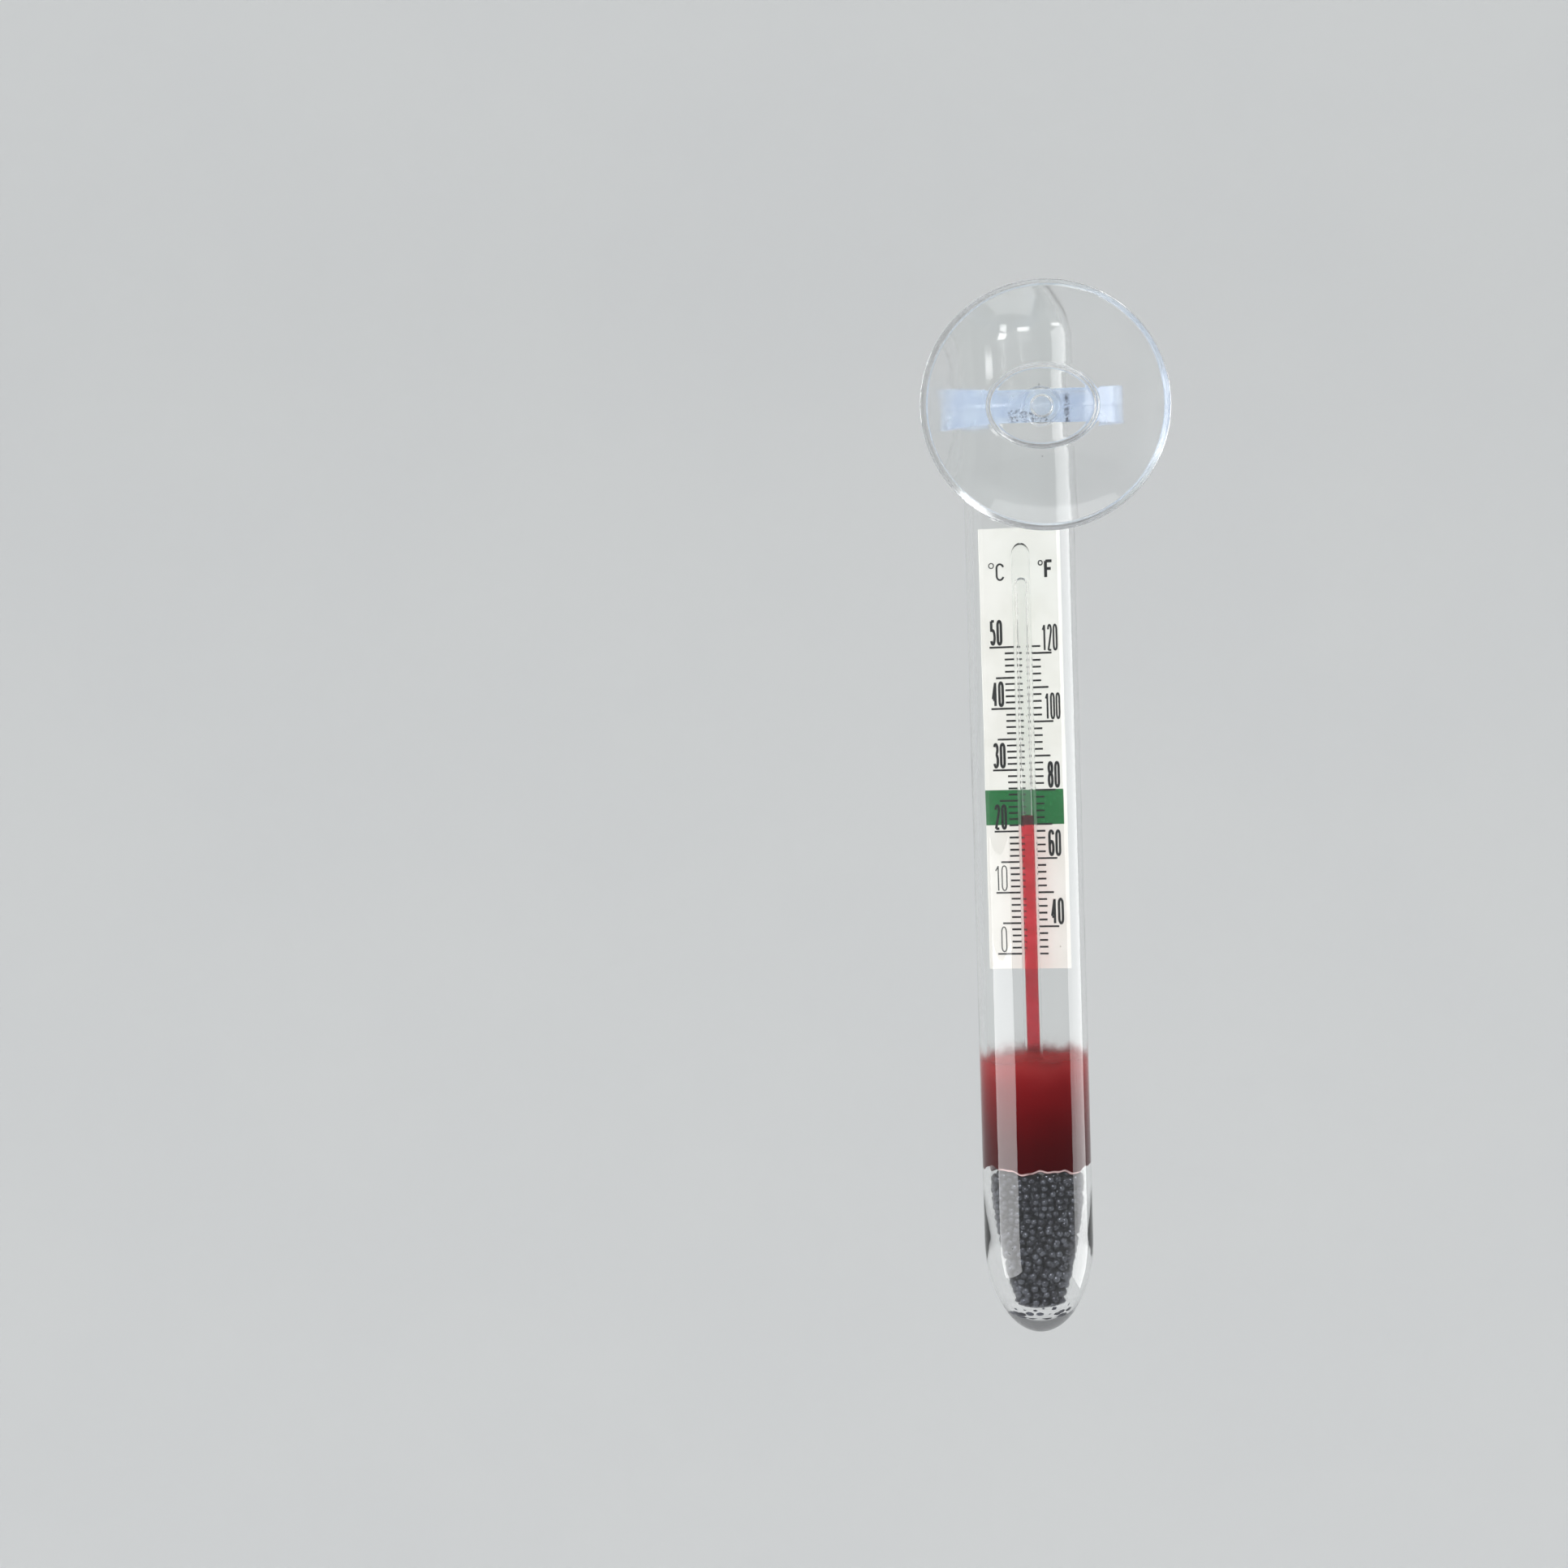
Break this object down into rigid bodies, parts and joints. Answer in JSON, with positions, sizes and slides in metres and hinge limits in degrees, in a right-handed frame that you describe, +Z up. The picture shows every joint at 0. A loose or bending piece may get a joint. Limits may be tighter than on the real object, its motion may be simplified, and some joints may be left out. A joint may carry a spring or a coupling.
{
  "type": "aquarium thermometer",
  "caption": "Sealed glass tube thermometer with a red spirit capillary on a printed card, held by a soft oval band and a clear suction cup.",
  "frame": {"origin": "centre of the suction cup's sealing face, where it meets the aquarium wall", "axes": "+Z up along the glass tube; +Y away from the wall, into the water, so -Y is the side the scale is read from; +X to the right for the reader"},
  "size_m": [0.0244, 0.0232, 0.1057],
  "materials": {
    "clear_vinyl": "gloss",
    "blue_vinyl": "satin",
    "tube_glass": "gloss",
    "stem_glass": "gloss",
    "red_wax": "satin",
    "red_spirit": "gloss",
    "shot_metal": "satin",
    "card_paper": "matte"
  },
  "bodies": {
    "cup": {"suction_cup": "clear_vinyl"},
    "band": {"ring_clip": "blue_vinyl"},
    "tube": {"glass_tube": "tube_glass", "sealed_end": "tube_glass"},
    "contents": {"ballast_shot": "shot_metal", "red_seal": "red_wax", "spirit_bulb": "stem_glass", "spirit_charge": "red_spirit", "capillary_stem": "stem_glass", "scale_card": "card_paper", "spirit_column": "red_spirit"},
    "spirit_tip": {"spirit_meniscus": "red_spirit"}
  },
  "joints": [
    {"name": "cup_swivel", "type": "hinge", "parent": "cup", "child": "band", "pos_m": [0, 0, 0], "axis": [0, 1, 0], "continuous": true},
    {"name": "tube_slide", "type": "slide", "parent": "band", "child": "tube", "axis": [0, 0, 1], "range_m": [-0.004, 0.08]},
    {"name": "tube_turn", "type": "hinge", "parent": "tube", "child": "contents", "pos_m": [-0.00195, 0.01544, 0], "axis": [0, 0, 1], "continuous": true},
    {"name": "spirit_rise", "type": "slide", "parent": "contents", "child": "spirit_tip", "axis": [0, 0, 1], "range_m": [-0.01412, 0.01698], "deforming": ["spirit_column"]}
  ]
}
